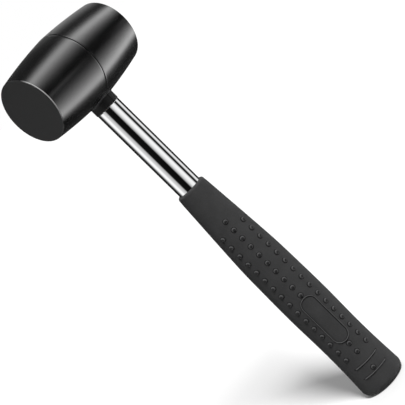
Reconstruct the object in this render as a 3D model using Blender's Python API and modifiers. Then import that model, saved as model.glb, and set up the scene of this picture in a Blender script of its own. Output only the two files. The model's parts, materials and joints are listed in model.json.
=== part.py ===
"""Rubber mallet with a chromed tubular handle, made as separate solids.

The mallet stands on its butt. The origin is the centre of the butt, +Z runs up the handle,
and +X runs along the head to its rear striking face. Lengths are in metres.
"""

import math

import bmesh
import bpy
from mathutils import Matrix, Vector

# Fits and mesh fineness
GAP = 0.0003
MERGE_DISTANCE = 0.00001
SHARP_ANGLE = math.radians(35)
HEAD_STEPS = 48
HANDLE_STEPS = 40

# Head: a barrel along X with a boss hanging from its middle
HEAD_HEIGHT = 0.3125
HEAD_LENGTH = 0.0934
HEAD_MID_RADIUS = 0.0293
HEAD_FACE_RADIUS = 0.02495
HEAD_CROWN = 0.00065
HEAD_RIM_RADIUS = 0.0012
PARTING_HALF_WIDTH = 0.0004
PARTING_DEPTH = 0.0003
BOSS_RADIUS = 0.0099
BOSS_REACH = 0.0351
BOSS_CHAMFER = 0.0004

# Steel tube: a full-size shaft, swaged down to a neck inside the head
TUBE_RADIUS = 0.0095
TUBE_WALL = 0.0012
TUBE_BASE = 0.009
NECK_RADIUS = 0.008
SHOULDER_DROP = 0.0006
LIP_RADIUS = 0.0094
LIP_EDGE = 0.0007

# Fixing at the top of the eye, as heights above the head's centre
SEAT_LEVEL = 0.019
SEAT_RADIUS = 0.0105
WASHER_THICKNESS = 0.0015
LIP_HEIGHT = 0.0018
DOWEL_INSET = 0.0014
WEDGE_HEIGHT = 0.015
WEDGE_WIDTH = 0.010
WEDGE_TOP_THICKNESS = 0.002
WEDGE_TIP_THICKNESS = 0.0008

# Plug in the foot of the tube
PLUG_FLANGE = 0.0015
PLUG_STEM = 0.012

# Grip: a moulded sleeve with a blind bore
GRIP_TURN = math.radians(-35.2)
GRIP_LENGTH = 0.198
GRIP_MOUTH_RADIUS = 0.0099
GRIP_CHAMFER = 0.002
BUTT_ROUND = 0.005
GRIP_STATIONS = (
    (GRIP_LENGTH - GRIP_CHAMFER, 0.0118),
    (0.184, 0.01265),
    (0.133, 0.01605),
    (0.115, 0.01665),
    (0.080, 0.01715),
    (0.046, 0.0167),
    (0.025, 0.0170),
    (BUTT_ROUND, 0.01785),
)

# Relief on both sides of the grip: rows of nubs, a bead round a blank panel, and two ribs
NUB_TOP_ROW = 0.1655
NUB_PITCH = 0.00815
NUB_COLUMN_OFFSET = 0.0098
NUB_BASE_RADIUS = 0.0021
NUB_TOP_RADIUS = 0.0012
NUB_HEIGHT = 0.0014
NUB_ROOT = 0.0006
MIDDLE_ROWS = tuple(range(10)) + (15, 16, 18)
SIDE_ROWS = tuple(range(1, 17))
PANEL_ROW = 12
PANEL_HALF_LENGTH = 0.0213
PANEL_HALF_WIDTH = 0.0062
BEAD_RADIUS = 0.0008
RIB_HEIGHTS = (0.0253, 0.0158)
RIB_HALF_SPAN = 0.012


# ------------------------------------------------------------------ scene and object helpers


def clear_scene():
    for old in list(bpy.data.objects):
        bpy.data.objects.remove(old, do_unlink=True)


def make_collection(name):
    collection = bpy.data.collections.new(name)
    bpy.context.scene.collection.children.link(collection)
    return collection


def make_material(name, colour, roughness, metallic=0.0):
    material = bpy.data.materials.new(name)
    material.use_nodes = True
    shader = material.node_tree.nodes["Principled BSDF"]
    shader.inputs["Base Color"].default_value = (*colour, 1.0)
    shader.inputs["Roughness"].default_value = roughness
    shader.inputs["Metallic"].default_value = metallic
    return material


def add_object(name, mesh, collection, location=(0.0, 0.0, 0.0), rotation=(0.0, 0.0, 0.0)):
    made = bpy.data.objects.new(name, mesh)
    made.location = location
    made.rotation_euler = rotation
    collection.objects.link(made)
    return made


def add_turned(name, profile, steps, collection, closed=False, **placing):
    """Solid of revolution about the object's own Z.

    The profile's (radius, height) points run down the outer side. It ends on the axis, or
    closes on itself for a ring.
    """
    count = len(profile)
    edges = [(i, i + 1) for i in range(count - 1)]
    if closed:
        edges.append((count - 1, 0))
    mesh = bpy.data.meshes.new(name)
    mesh.from_pydata([(radius, 0.0, height) for radius, height in profile], edges, [])
    made = add_object(name, mesh, collection, **placing)
    turn = made.modifiers.new("Turn", "SCREW")
    turn.angle = math.tau
    turn.steps = steps
    turn.render_steps = steps
    turn.use_merge_vertices = True
    turn.merge_threshold = MERGE_DISTANCE
    return made


def combine(target, operand, operation):
    """Boolean the operand with the target, and leave the operand as a wire guide."""
    step = target.modifiers.new(operand.name, "BOOLEAN")
    step.operation = operation
    step.solver = "EXACT"
    step.object = operand
    operand.hide_render = True
    operand.display_type = "WIRE"


def finish_part(part, material, root):
    """Bake the modifiers, shade the round faces smooth and hang the part on the root."""
    bpy.context.view_layer.update()
    graph = bpy.context.evaluated_depsgraph_get()
    mesh = bpy.data.meshes.new_from_object(part.evaluated_get(graph))
    mesh.name = part.name
    part.modifiers.clear()
    part.data = mesh
    mesh.materials.clear()
    mesh.materials.append(material)
    mesh.shade_smooth()
    mesh.set_sharp_from_angle(angle=SHARP_ANGLE)
    part.parent = root


# ------------------------------------------------------------------ outlines


def arc(centre, radius, start, end, count):
    """Points on an arc, as (across, up), with the angles in radians from the across axis."""
    angles = [start + (end - start) * i / count for i in range(count + 1)]
    return [
        (centre[0] + radius * math.cos(angle), centre[1] + radius * math.sin(angle))
        for angle in angles
    ]


def barrel_radius(along):
    """Flank radius: a straight taper from the middle to the face, plus a parabolic crown."""
    share = abs(along) / (HEAD_LENGTH / 2)
    crown_share = abs(along) / (HEAD_LENGTH / 2 - HEAD_RIM_RADIUS)
    taper = (HEAD_MID_RADIUS - HEAD_FACE_RADIUS) * share
    return HEAD_MID_RADIUS - taper + HEAD_CROWN * 4 * crown_share * (1 - crown_share)


def barrel_profile(with_parting_line, flank_points=7, rim_points=5):
    rim_start = HEAD_LENGTH / 2 - HEAD_RIM_RADIUS
    rim_centre = (barrel_radius(rim_start) - HEAD_RIM_RADIUS, rim_start)
    rim = arc(rim_centre, HEAD_RIM_RADIUS, math.pi / 2, 0.0, rim_points)
    first = PARTING_HALF_WIDTH if with_parting_line else 0.0
    flank = [
        first + (rim_start - first) * i / flank_points
        for i in reversed(range(0 if with_parting_line else 1, flank_points))
    ]
    upper = [(0.0, HEAD_LENGTH / 2)] + rim + [(barrel_radius(up), up) for up in flank]
    lower = [(radius, -up) for radius, up in reversed(upper)]
    depth = PARTING_DEPTH if with_parting_line else 0.0
    return upper + [(HEAD_MID_RADIUS - depth, 0.0)] + lower


def grip_radius(height):
    """Grip radius at a height: cubic Hermite curves through the stations."""
    stations = GRIP_STATIONS[::-1]
    levels = [station[0] for station in stations]
    radii = [station[1] for station in stations]
    last = len(stations) - 1

    def slope(i):
        low, high = max(i - 1, 0), min(i + 1, last)
        return (radii[high] - radii[low]) / (levels[high] - levels[low])

    height = min(max(height, levels[0]), levels[-1])
    i = max(k for k in range(last) if levels[k] <= height)
    span = levels[i + 1] - levels[i]
    t = (height - levels[i]) / span
    return (
        radii[i] * (1 + 2 * t) * (1 - t) ** 2
        + radii[i + 1] * t * t * (3 - 2 * t)
        + span * slope(i) * t * (1 - t) ** 2
        + span * slope(i + 1) * t * t * (t - 1)
    )


def grip_profile(body_points=16, round_points=5):
    """Up the blind bore, over the mouth, down the outside and across the butt."""
    bore_radius = TUBE_RADIUS + GAP
    bore_floor = TUBE_BASE - PLUG_FLANGE - 2 * GAP
    body_top = GRIP_LENGTH - GRIP_CHAMFER
    body = [
        body_top + (BUTT_ROUND - body_top) * i / body_points for i in range(body_points + 1)
    ]
    butt_centre = (grip_radius(BUTT_ROUND) - BUTT_ROUND, BUTT_ROUND)
    butt = arc(butt_centre, BUTT_ROUND, 0.0, -math.pi / 2, round_points)
    bore = [(0.0, bore_floor), (bore_radius, bore_floor), (bore_radius, GRIP_LENGTH)]
    mouth = [(GRIP_MOUTH_RADIUS, GRIP_LENGTH)]
    outside = [(grip_radius(height), height) for height in body]
    return bore + mouth + outside + butt[1:] + [(0.0, 0.0)]


def on_grip(across, height, side, lift=0.0):
    """The point and outward normal of the grip at a plan offset from the middle of a side.

    side is -1 for the panel that faces the grip's own -Y, and 1 for the one behind it.
    """
    radius = grip_radius(height)
    angle = math.asin(across / radius)
    normal = Vector((math.sin(angle), side * math.cos(angle), 0.0))
    return normal * (radius + lift) + Vector((0.0, 0.0, height)), normal


# ------------------------------------------------------------------ relief on the grip


def add_nubs(relief, side):
    """Low frustums in three straight columns, with their roots sunk in the grip."""
    columns = (
        (0.0, MIDDLE_ROWS),
        (-NUB_COLUMN_OFFSET, SIDE_ROWS),
        (NUB_COLUMN_OFFSET, SIDE_ROWS),
    )
    for across, rows in columns:
        for row in rows:
            height = NUB_TOP_ROW - row * NUB_PITCH
            centre, normal = on_grip(across, height, side, (NUB_HEIGHT - NUB_ROOT) / 2)
            turn = normal.to_track_quat("Z", "Y").to_matrix().to_4x4()
            bmesh.ops.create_cone(
                relief,
                cap_ends=True,
                segments=8,
                radius1=NUB_BASE_RADIUS,
                radius2=NUB_TOP_RADIUS,
                depth=NUB_HEIGHT + NUB_ROOT,
                matrix=Matrix.Translation(centre) @ turn,
            )


def add_wire(relief, points, cyclic):
    """A round wire along the points, made as a curve and added to the relief as a mesh."""
    curve = bpy.data.curves.new("wire", "CURVE")
    curve.dimensions = "3D"
    curve.bevel_depth = BEAD_RADIUS
    curve.bevel_resolution = 1
    curve.use_fill_caps = True
    spline = curve.splines.new("POLY")
    spline.points.add(len(points) - 1)
    for place, point in zip(spline.points, points):
        place.co = (*point, 1.0)
    spline.use_cyclic_u = cyclic
    wire = bpy.data.objects.new("wire", curve)
    bpy.context.scene.collection.objects.link(wire)
    bpy.context.view_layer.update()
    graph = bpy.context.evaluated_depsgraph_get()
    mesh = bpy.data.meshes.new_from_object(wire.evaluated_get(graph))
    relief.from_mesh(mesh)
    bpy.data.objects.remove(wire, do_unlink=True)


def panel_bead_points(side, end_points=10, side_points=8):
    """A stadium round the blank panel, wrapped on the grip."""
    middle = NUB_TOP_ROW - PANEL_ROW * NUB_PITCH
    straight = PANEL_HALF_LENGTH - PANEL_HALF_WIDTH
    top = arc((0.0, middle + straight), PANEL_HALF_WIDTH, 0.0, math.pi, end_points)
    bottom = arc((0.0, middle - straight), PANEL_HALF_WIDTH, math.pi, math.tau, end_points)
    drops = [straight * (1 - 2 * i / side_points) for i in range(1, side_points)]
    left = [(-PANEL_HALF_WIDTH, middle + drop) for drop in drops]
    right = [(PANEL_HALF_WIDTH, middle - drop) for drop in drops]
    outline = top + left + bottom + right
    return [on_grip(across, height, side)[0] for across, height in outline]


def rib_points(height, side, count=12):
    offsets = [RIB_HALF_SPAN * (2 * i / count - 1) for i in range(count + 1)]
    return [on_grip(across, height, side)[0] for across in offsets]


def build_grip_relief(collection):
    relief = bmesh.new()
    for side in (-1, 1):
        add_nubs(relief, side)
        add_wire(relief, panel_bead_points(side), cyclic=True)
        for height in RIB_HEIGHTS:
            add_wire(relief, rib_points(height, side), cyclic=False)
    bmesh.ops.remove_doubles(relief, verts=relief.verts, dist=MERGE_DISTANCE)
    bmesh.ops.recalc_face_normals(relief, faces=relief.faces)
    mesh = bpy.data.meshes.new("grip_relief")
    relief.to_mesh(mesh)
    relief.free()
    return add_object("grip_relief", mesh, collection, rotation=(0.0, 0.0, GRIP_TURN))


# ------------------------------------------------------------------ parts


def build_head(parts, cutters):
    """Barrel and boss moulded in one, with a stepped eye through them."""
    along_x = {"location": (0.0, 0.0, HEAD_HEIGHT), "rotation": (0.0, math.pi / 2, 0.0)}
    at_head = {"location": (0.0, 0.0, HEAD_HEIGHT)}
    head = add_turned("head", barrel_profile(True), HEAD_STEPS, parts, **along_x)
    boss_profile = (
        (0.0, 0.0),
        (BOSS_RADIUS, 0.0),
        (BOSS_RADIUS, BOSS_CHAMFER - BOSS_REACH),
        (BOSS_RADIUS - BOSS_CHAMFER, -BOSS_REACH),
        (0.0, -BOSS_REACH),
    )
    boss = add_turned("boss", boss_profile, HANDLE_STEPS, cutters, **at_head)
    eye_radius = NECK_RADIUS + GAP
    eye_profile = (
        (0.0, HEAD_MID_RADIUS * 2),
        (SEAT_RADIUS, HEAD_MID_RADIUS * 2),
        (SEAT_RADIUS, SEAT_LEVEL),
        (eye_radius, SEAT_LEVEL),
        (eye_radius, -HEAD_MID_RADIUS * 2),
        (0.0, -HEAD_MID_RADIUS * 2),
    )
    eye = add_turned("eye", eye_profile, HANDLE_STEPS, cutters, **at_head)
    combine(head, boss, "UNION")
    combine(head, eye, "DIFFERENCE")
    return head


def build_eye_cap(parts, cutters):
    """Rubber plug that closes the eye, its top following the barrel."""
    radius = SEAT_RADIUS - GAP
    bottom = washer_top() + GAP + LIP_HEIGHT + GAP
    top = HEAD_MID_RADIUS * 2
    profile = ((0.0, top), (radius, top), (radius, bottom), (0.0, bottom))
    cap = add_turned(
        "eye_cap", profile, HANDLE_STEPS, parts, location=(0.0, 0.0, HEAD_HEIGHT)
    )
    crest = add_turned(
        "crest",
        barrel_profile(False),
        HEAD_STEPS,
        cutters,
        location=(0.0, 0.0, HEAD_HEIGHT),
        rotation=(0.0, math.pi / 2, 0.0),
    )
    combine(cap, crest, "INTERSECT")
    return cap


def washer_top():
    return SEAT_LEVEL + GAP + WASHER_THICKNESS


def build_eye_washer(parts):
    """Steel ring under the flared lip of the tube."""
    inner = NECK_RADIUS + GAP
    outer = SEAT_RADIUS - GAP
    top = washer_top()
    bottom = SEAT_LEVEL + GAP
    profile = ((outer, top), (outer, bottom), (inner, bottom), (inner, top))
    return add_turned(
        "eye_washer",
        profile,
        HANDLE_STEPS,
        parts,
        closed=True,
        location=(0.0, 0.0, HEAD_HEIGHT),
    )


def build_handle_tube(parts):
    """Shaft, shoulder under the boss, neck through the eye, and a lip flared over the washer."""
    lip_base = washer_top() + GAP
    lip_top = lip_base + LIP_HEIGHT
    shoulder = -BOSS_REACH - GAP
    foot = TUBE_BASE - HEAD_HEIGHT
    bore = TUBE_RADIUS - TUBE_WALL
    neck_bore = NECK_RADIUS - TUBE_WALL
    outside = (
        (LIP_RADIUS, lip_top),
        (LIP_RADIUS, lip_top - LIP_EDGE),
        (NECK_RADIUS, lip_base),
        (NECK_RADIUS, shoulder),
        (TUBE_RADIUS - SHOULDER_DROP / 2, shoulder),
        (TUBE_RADIUS, shoulder - SHOULDER_DROP),
        (TUBE_RADIUS, foot),
    )
    inside = (
        (bore, foot),
        (bore, shoulder - 2 * TUBE_WALL),
        (neck_bore, shoulder - TUBE_WALL),
        (neck_bore, lip_base),
        (LIP_RADIUS - TUBE_WALL, lip_top),
    )
    return add_turned(
        "handle_tube",
        outside + inside,
        HANDLE_STEPS,
        parts,
        closed=True,
        location=(0.0, 0.0, HEAD_HEIGHT),
    )


def tapered_block(name, top_thickness, tip_thickness, width, height, collection, top):
    """A wedge with its thick end up at the given height, thin along X and wide along Y."""
    mesh = bpy.data.meshes.new(name)
    shape = bmesh.new()
    bmesh.ops.create_cube(shape, size=1.0)
    for corner in shape.verts:
        thickness = top_thickness if corner.co.z > 0 else tip_thickness
        level = 0.0 if corner.co.z > 0 else -height
        corner.co = (corner.co.x * thickness, corner.co.y * width, level)
    shape.to_mesh(mesh)
    shape.free()
    return add_object(name, mesh, collection, location=(0.0, 0.0, top))


def build_core_dowel(parts, cutters):
    """Hardwood core of the neck, with a saw cut across its top for the wedge."""
    radius = NECK_RADIUS - TUBE_WALL - GAP
    top = washer_top() + GAP + LIP_HEIGHT - DOWEL_INSET
    bottom = -BOSS_REACH
    profile = ((0.0, top), (radius, top), (radius, bottom), (0.0, bottom))
    dowel = add_turned(
        "core_dowel", profile, HANDLE_STEPS, parts, location=(0.0, 0.0, HEAD_HEIGHT)
    )
    kerf = tapered_block(
        "kerf",
        WEDGE_TOP_THICKNESS + 2 * GAP,
        WEDGE_TIP_THICKNESS + 2 * GAP,
        4 * radius,
        WEDGE_HEIGHT + 2 * GAP,
        cutters,
        HEAD_HEIGHT + top + GAP,
    )
    combine(dowel, kerf, "DIFFERENCE")
    return dowel


def build_steel_wedge(parts):
    top = washer_top() + GAP + LIP_HEIGHT - DOWEL_INSET
    return tapered_block(
        "steel_wedge",
        WEDGE_TOP_THICKNESS,
        WEDGE_TIP_THICKNESS,
        WEDGE_WIDTH,
        WEDGE_HEIGHT,
        parts,
        HEAD_HEIGHT + top,
    )


def build_tube_end_plug(parts):
    """Flanged plug in the foot of the tube, so that its edge can't cut through the grip."""
    flange_top = TUBE_BASE - GAP
    flange_base = flange_top - PLUG_FLANGE
    stem = TUBE_RADIUS - TUBE_WALL - GAP
    stem_top = flange_top + PLUG_STEM
    profile = (
        (0.0, stem_top),
        (stem, stem_top),
        (stem, flange_top),
        (TUBE_RADIUS, flange_top),
        (TUBE_RADIUS, flange_base),
        (0.0, flange_base),
    )
    return add_turned("tube_end_plug", profile, HANDLE_STEPS, parts)


def build_grip(parts, cutters):
    grip = add_turned(
        "grip", grip_profile(), HEAD_STEPS, parts, rotation=(0.0, 0.0, GRIP_TURN)
    )
    combine(grip, build_grip_relief(cutters), "UNION")
    return grip


def build_mallet():
    clear_scene()
    parts = make_collection("rubber_mallet")
    cutters = make_collection("cutters")
    root = bpy.data.objects.new("rubber_mallet", None)
    parts.objects.link(root)

    head_rubber = make_material("head_rubber", (0.01, 0.01, 0.01), 0.3)
    grip_rubber = make_material("grip_rubber", (0.03, 0.03, 0.031), 0.6)
    chrome = make_material("chrome", (0.8, 0.8, 0.81), 0.06, metallic=1.0)
    zinc_steel = make_material("zinc_steel", (0.55, 0.56, 0.58), 0.35, metallic=1.0)
    beech = make_material("beech", (0.55, 0.36, 0.2), 0.7)
    black_plastic = make_material("black_plastic", (0.03, 0.03, 0.03), 0.5)

    made = (
        (build_head(parts, cutters), head_rubber),
        (build_eye_cap(parts, cutters), head_rubber),
        (build_eye_washer(parts), zinc_steel),
        (build_handle_tube(parts), chrome),
        (build_core_dowel(parts, cutters), beech),
        (build_steel_wedge(parts), zinc_steel),
        (build_tube_end_plug(parts), black_plastic),
        (build_grip(parts, cutters), grip_rubber),
    )
    for part, material in made:
        finish_part(part, material, root)


build_mallet()
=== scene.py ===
import json
import math

import bpy
import numpy as np
from bpy.props import FloatProperty, FloatVectorProperty, PointerProperty
from mathutils import Matrix, Vector


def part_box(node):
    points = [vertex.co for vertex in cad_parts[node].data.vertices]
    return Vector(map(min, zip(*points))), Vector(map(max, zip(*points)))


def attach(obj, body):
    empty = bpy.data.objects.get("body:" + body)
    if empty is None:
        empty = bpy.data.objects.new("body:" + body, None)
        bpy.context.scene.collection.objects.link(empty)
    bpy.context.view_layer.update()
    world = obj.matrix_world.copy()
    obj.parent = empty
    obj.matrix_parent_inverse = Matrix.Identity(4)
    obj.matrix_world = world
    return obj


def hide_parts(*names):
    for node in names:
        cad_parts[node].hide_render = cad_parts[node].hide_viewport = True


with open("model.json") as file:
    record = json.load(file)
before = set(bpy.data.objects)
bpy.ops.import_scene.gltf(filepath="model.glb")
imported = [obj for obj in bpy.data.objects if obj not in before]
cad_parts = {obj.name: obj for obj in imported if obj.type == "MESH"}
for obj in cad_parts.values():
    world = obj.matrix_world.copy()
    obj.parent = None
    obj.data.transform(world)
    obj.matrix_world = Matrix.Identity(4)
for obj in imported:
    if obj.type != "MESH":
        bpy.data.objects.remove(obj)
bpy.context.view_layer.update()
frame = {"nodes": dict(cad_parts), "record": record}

bl_info = {
    "name": "Rubber Mallet",
    "version": (1, 0, 0),
    "blender": (4, 5, 0),
    "location": "View3D > Sidebar > Mallet",
    "description": "Fine surfaces, finishes and studio of a rubber mallet with a chromed tubular handle",
    "category": "Add Mesh",
}

# The mallet stands on its butt: +Z runs up the handle, and +X along the head to its rear face.
HEAD_LOW, HEAD_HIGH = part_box("head")
TUBE_LOW, TUBE_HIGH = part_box("handle_tube")
GRIP_LOW, GRIP_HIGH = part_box("grip")
CAP_LOW, CAP_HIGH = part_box("eye_cap")
WASHER_LOW, WASHER_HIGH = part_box("eye_washer")
HEAD_HEIGHT = {m["name"]: m["pos_m"] for m in frame["record"]["mounts"]}["striking_face_front"][2]


# ---- sizes and colours


def length(name, description, default, **more):
    """A property for a length in metres."""
    return FloatProperty(
        name=name, description=description, default=default, unit="LENGTH", precision=5, **more
    )


def turn(name, description, default):
    """A property for an angle, given in degrees."""
    return FloatProperty(
        name=name, description=description, default=math.radians(default), subtype="ANGLE"
    )


def share(name, description, default):
    """A property for a plain factor."""
    return FloatProperty(name=name, description=description, default=default, subtype="FACTOR")


def amount(name, description, default):
    return FloatProperty(name=name, description=description, default=default)


def colour(name, description, default):
    return FloatVectorProperty(
        name=name, description=description, default=default, subtype="COLOR", size=3, min=0, max=1
    )


class MalletHeadSizes(bpy.types.PropertyGroup):
    """Sizes of the rubber head and of the cap over its eye."""

    length: length("Length", "Face to face along the head", HEAD_HIGH.x - HEAD_LOW.x)
    middle_radius: length("Middle radius", "Radius at the parting line", CAP_HIGH.z - HEAD_HEIGHT)
    face_radius: length("Face radius", "Radius where the flank would meet the face", 0.0251)
    crown: length("Crown", "Bulge of the flank beyond a straight taper", 0.00065)
    rim_radius: length("Rim radius", "Rounding round each face", 0.0007)
    parting_width: length("Parting width", "Width of the mould line round the middle", 0.0008)
    parting_depth: length("Parting depth", "Depth of the mould line", 0.0005)
    boss_radius: length("Boss radius", "Radius of the boss under the head", 0.0099)
    boss_fillet: length("Boss fillet", "Rounding between boss and barrel", 0.0009)
    boss_edge: length("Boss edge", "Rounding round the foot of the boss", 0.0005)
    eye_radius: length("Eye radius", "Radius of the hole for the neck", 0.0083)
    seat_radius: length("Seat radius", "Radius of the pocket over the washer", 0.0105)
    cap_clearance: length("Cap clearance", "Gap round the cap", 0.00012)


class MalletTubeSizes(bpy.types.PropertyGroup):
    """Sizes of the chromed tube."""

    radius: length("Radius", "Radius of the shaft", TUBE_HIGH.x)
    wall: length("Wall", "Thickness of the steel", 0.0012)
    neck_radius: length("Neck radius", "Radius of the neck inside the head", 0.008)
    shoulder_round: length("Shoulder round", "Rounding of the shoulder under the boss", 0.0002)
    lip_height: length("Lip height", "Height of the flared lip over the washer", 0.0018)
    lip_radius: length("Lip radius", "Outer radius of the flared lip", 0.0094)


class MalletGripSizes(bpy.types.PropertyGroup):
    """Sizes of the moulded grip and its relief."""

    turned: turn("Turned", "Turn of the panels about the handle, from facing -Y", -35.2)
    mouth_radius: length("Mouth radius", "Radius of the opening at the top", 0.00958)
    mouth_round: length("Mouth round", "Height of the rounding at the top", 0.0019)
    bore_radius: length("Bore radius", "Radius of the bore below the mouth", 0.0098)
    butt_round: length("Butt round", "Rounding of the butt", 0.005)
    nub_top: length("Top nub", "Height of the highest nub", 0.1655)
    nub_pitch: length("Nub pitch", "Spacing of the rows of nubs", 0.00815)
    nub_offset: length("Nub offset", "Offset of the side columns, seen square on", 0.0098)
    nub_radius: length("Nub radius", "Radius of a nub at its foot", 0.0022)
    nub_height: length("Nub height", "Height of a nub", 0.0015)
    panel_half_length: length("Panel half length", "Half the height of the beaded panel", 0.0213)
    panel_half_width: length("Panel half width", "Half the width of the beaded panel", 0.0062)
    bead_radius: length("Bead radius", "Half the width of the bead", 0.0008)
    bead_height: length("Bead height", "Height of the bead", 0.001)
    rib_half_span: length("Rib half span", "Half the width of the two ribs", 0.0122)
    rib_height: length("Rib height", "Height of the two ribs", 0.0011)
    seam_height: length("Seam height", "Height of the mould seam down each side", 0.00012)


class MalletFinishes(bpy.types.PropertyGroup):
    """Colours and gloss of the materials."""

    head_colour: colour("Head colour", "Black moulded rubber", (0.0025, 0.0025, 0.0026))
    head_gloss: share("Head roughness", "Roughness of the head's flank", 0.2)
    face_gloss: share("Face roughness", "Roughness of the striking faces", 0.42)
    # Colour of the painted highlight along the rim's -Y side
    rim_highlight_colour: colour("Rim colour", "Rubber rubbed pale on the rim", (0.42, 0.42, 0.42))
    grip_colour: colour("Grip colour", "Dark grey moulded rubber", (0.040, 0.040, 0.0405))
    grip_gloss: share("Grip roughness", "Roughness of the grip", 0.62)
    chrome_colour: colour("Chrome colour", "Chrome plate", (0.86, 0.865, 0.87))
    chrome_gloss: share("Chrome roughness", "Roughness of the plate", 0.03)
    zinc_colour: colour("Zinc colour", "Zinc plate", (0.55, 0.56, 0.58))
    beech_colour: colour("Beech colour", "Turned beech", (0.55, 0.36, 0.2))
    plastic_colour: colour("Plastic colour", "Black plastic", (0.03, 0.03, 0.031))


class MalletStage(bpy.types.PropertyGroup):
    """Camera, floor and light."""

    camera_azimuth: turn("Camera azimuth", "Turn of the camera about the mallet", -37.016)
    camera_elevation: turn("Camera elevation", "Camera's height as an angle", 8.51)
    camera_roll: turn("Camera roll", "Roll that lays the handle across the picture", -45.519)
    camera_distance: length("Camera distance", "From the aim point to the camera", 0.959)
    camera_lens: amount("Camera lens", "Focal length in millimetres", 122.91)
    aim: FloatVectorProperty(
        name="Aim",
        description="Point that the camera looks at",
        default=(-0.00285, -0.0019, 0.18468),
        subtype="TRANSLATION",
        unit="LENGTH",
        precision=5,
    )
    sun_azimuth: turn("Sun azimuth", "Where the key light stands", -18.5)
    sun_elevation: turn("Sun elevation", "Height of the key light", 47.0)
    sun_spread: turn("Sun spread", "Apparent width of the key light", 13.0)
    sun_power: amount("Sun power", "Strength of the key light", 4.0)
    sky_fill: amount("Sky fill", "Soft light from above the horizon", 0.24)
    back_fill: amount("Back fill", "Soft light from behind the mallet", 0.7)
    ground_fill: amount("Ground fill", "Soft light from below the horizon", 0.02)
    floor_size: length("Floor size", "Width of the floor", 60.0)
    floor_colour: colour("Floor colour", "Pale floor", (0.85, 0.85, 0.85))


# ---- meshes from grids


def arc(centre, size, first, last, steps):
    """Points on an arc of an ellipse: centre + size * (cos a, sin a), a from first to last."""
    angle = np.linspace(first, last, steps + 1)
    return np.stack([centre[0] + size[0] * np.cos(angle), centre[1] + size[1] * np.sin(angle)], axis=1)


def line(start, end, steps):
    """Points on a straight run, both ends included."""
    t = np.linspace(0.0, 1.0, steps + 1)[:, None]
    return np.asarray(start) * (1 - t) + np.asarray(end) * t


def path(corners, steps):
    """Points on the straight runs between corners, each run in its own number of steps."""
    return joined(*(line(*ends) for ends in zip(corners, corners[1:], steps)))


def joined(*runs):
    """One outline from several runs, with the doubled points where they meet left out."""
    points = np.concatenate([np.atleast_2d(run) for run in runs])
    step = np.linalg.norm(np.diff(points, axis=0), axis=1)
    return points[np.concatenate([[True], step > 1e-7])]


def turned(profile, angles):
    """Grid of a turned surface: (r cos a, r sin a, h) for each profile point and angle."""
    radius, height = profile[:, :1], profile[:, 1:]
    return np.stack([radius * np.cos(angles), radius * np.sin(angles), height + 0 * angles], axis=2)


def full_turn(steps):
    """Angles of a whole turn, the closing one left out."""
    return np.arange(steps) * (math.tau / steps)


def mesh_from_grid(name, grid, closed_profile=False):
    """Closed mesh of a grid whose columns wrap round and whose rows run down the outer side.

    A grid with a closed profile joins its last row to its first, as a ring does. On any other,
    the first and the last row lie on the axis and become one point each, with a fan round it.
    """
    rows, columns = grid.shape[:2]
    if closed_profile:
        points = grid.reshape(-1, 3)
        ring = np.arange(rows * columns).reshape(rows, columns)
        upper, lower = ring, np.roll(ring, -1, axis=0)
        fans = np.empty((0, 3), int)
    else:
        points = np.concatenate([grid[1:-1].reshape(-1, 3), grid[:1, 0], grid[-1:, 0]])
        ring = np.arange((rows - 2) * columns).reshape(rows - 2, columns)
        upper, lower = ring[:-1], ring[1:]
        top, bottom = len(points) - 2, len(points) - 1
        first, last = ring[0], ring[-1]
        poles = np.full(columns, top), np.full(columns, bottom)
        fans = np.concatenate(
            [
                np.stack([poles[0], first, np.roll(first, -1)], axis=1),
                np.stack([last, poles[1], np.roll(last, -1)], axis=1),
            ]
        )
    quads = np.stack(
        [upper, lower, np.roll(lower, -1, axis=1), np.roll(upper, -1, axis=1)], axis=2
    ).reshape(-1, 4)
    mesh = bpy.data.meshes.new(name)
    faces = quads.tolist() + fans.tolist()
    mesh.from_pydata(points.tolist(), [], faces, shade_flat=False)
    mesh.validate()
    return mesh


def add_object(name, mesh):
    made = bpy.data.objects.new(name, mesh)
    bpy.context.scene.collection.objects.link(made)
    return made


def apply_modifiers(piece):
    """Bake the piece's modifiers into its mesh."""
    bpy.context.view_layer.update()
    graph = bpy.context.evaluated_depsgraph_get()
    mesh = bpy.data.meshes.new_from_object(piece.evaluated_get(graph))
    piece.modifiers.clear()
    piece.data = mesh


def combine(piece, tool_mesh, operation):
    """Boolean a closed tool mesh with the piece, and bake the result."""
    tool = add_object("tool", tool_mesh)
    step = piece.modifiers.new(operation.title(), "BOOLEAN")
    step.operation = operation
    step.solver = "EXACT"
    step.object = tool
    apply_modifiers(piece)
    bpy.data.objects.remove(tool, do_unlink=True)


def finish_piece(piece, node, material, sharp=35.0):
    """Shade and dress the piece, and let it stand for the CAD node on the root body."""
    mesh = piece.data
    mesh.materials.clear()
    mesh.materials.append(material)
    mesh.shade_smooth()
    mesh.set_sharp_from_angle(angle=math.radians(sharp))
    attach(piece, "root")
    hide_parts(node)


# ---- shader nodes


def feed(tree, node, inputs):
    """Set a node's inputs. Each is given by name or place, as a value or as an output."""
    for key, value in inputs.items():
        if isinstance(value, bpy.types.NodeSocket):
            tree.links.new(value, node.inputs[key])
        else:
            node.inputs[key].default_value = value


def add(tree, kind, inputs=None, **settings):
    """Add a shader node with its settings and inputs."""
    made = tree.nodes.new(kind)
    for key, value in settings.items():
        setattr(made, key, value)
    feed(tree, made, inputs or {})
    return made


def new_material(name):
    """A material, its tree, and the place on the piece for its patterns."""
    material = bpy.data.materials.new(name)
    material.use_nodes = True
    tree = material.node_tree
    return material, tree, add(tree, "ShaderNodeTexCoord").outputs["Object"]


def dress(material, inputs):
    """Give the material's own shader its inputs."""
    tree = material.node_tree
    feed(tree, tree.nodes["Principled BSDF"], inputs)
    return material


def calculate(tree, operation, *values):
    return add(tree, "ShaderNodeMath", dict(enumerate(values)), operation=operation).outputs[0]


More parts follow.
